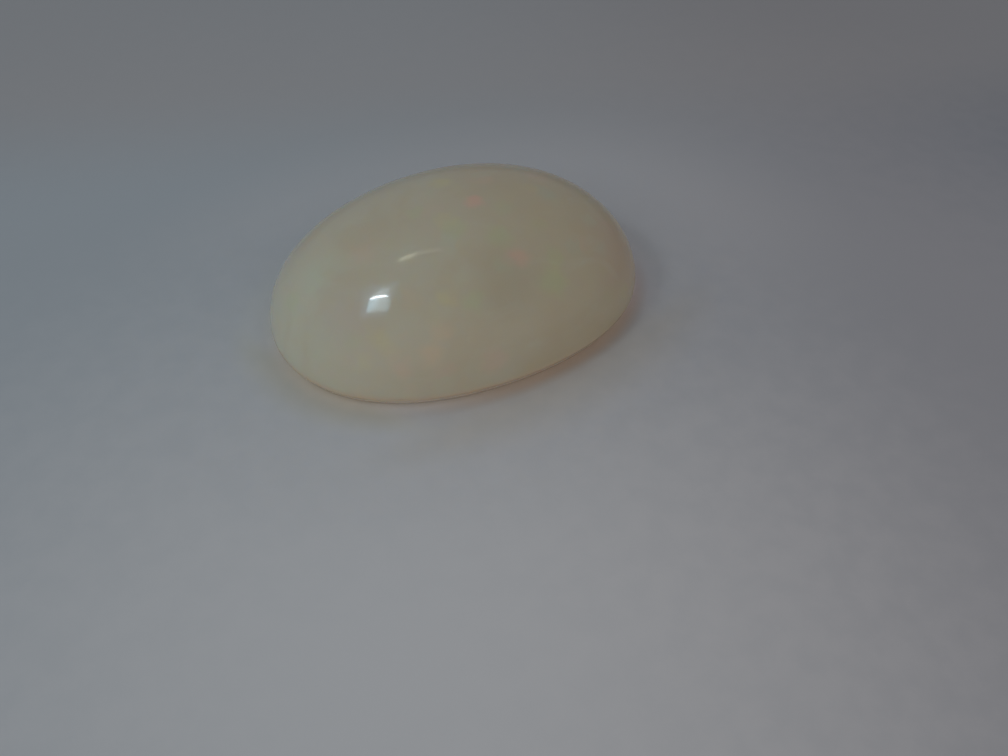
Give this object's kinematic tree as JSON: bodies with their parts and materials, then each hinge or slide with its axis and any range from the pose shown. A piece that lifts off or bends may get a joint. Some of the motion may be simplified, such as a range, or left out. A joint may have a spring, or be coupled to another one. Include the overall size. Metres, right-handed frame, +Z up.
{
  "type": "polished oval opal cabochon",
  "caption": "Loose polished opal: an oval stone with a high smooth dome, a rounded girdle, a short bevel under it and a flat back to rest on.",
  "frame": {"origin": "middle of the flat back, on the surface that the stone rests on", "axes": "+X along the stone towards its slightly wider end, +Y across it, +Z up out of the dome"},
  "size_m": [0.02, 0.015, 0.0065],
  "materials": {
    "opal": "polished cream to honey opal, waxy and translucent, with faint pastel play of colour; fine-ground flat back"
  },
  "bodies": {
    "root": {"opal_cabochon": "opal"}
  },
  "joints": []
}
